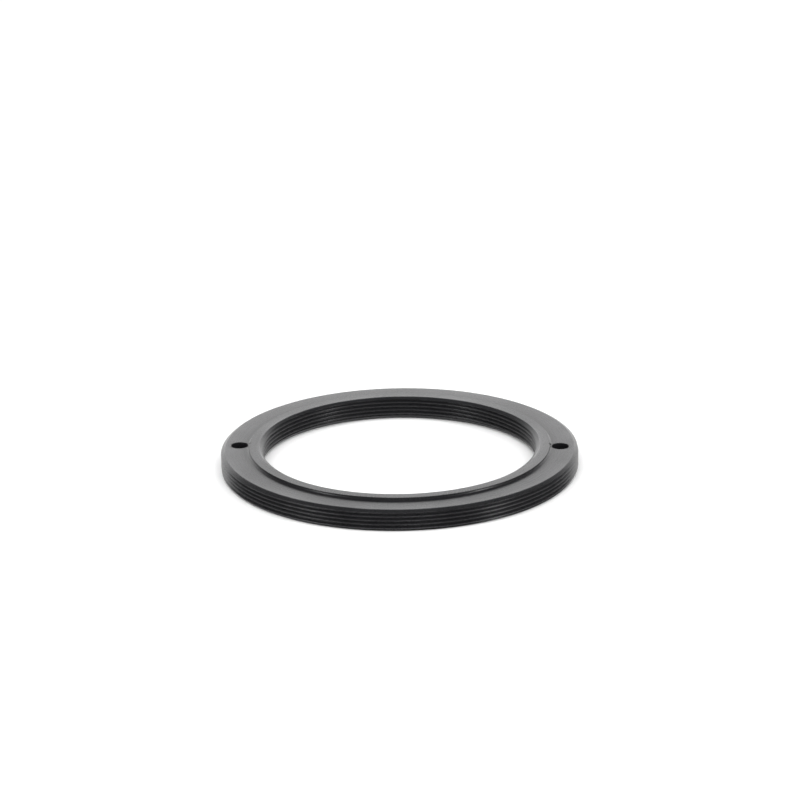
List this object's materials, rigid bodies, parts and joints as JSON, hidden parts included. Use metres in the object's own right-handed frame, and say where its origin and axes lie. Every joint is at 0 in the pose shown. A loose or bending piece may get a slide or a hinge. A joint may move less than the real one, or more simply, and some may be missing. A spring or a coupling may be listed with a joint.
{
  "type": "telescope thread adapter ring",
  "caption": "Flat black ring with a fine thread outside and inside, a low collar round its bore, and pin-spanner holes in its flange.",
  "frame": {"origin": "on the ring's axis, in the plane of its bottom face", "axes": "+Z along the ring's axis, out of the collar side; the pin-spanner holes lie close to the X axis"},
  "size_m": [0.067, 0.067, 0.0045],
  "materials": {
    "anodised_black": "satin black anodised, with fine turning marks"
  },
  "bodies": {
    "root": {"adapter_ring": "anodised_black"}
  },
  "joints": []
}
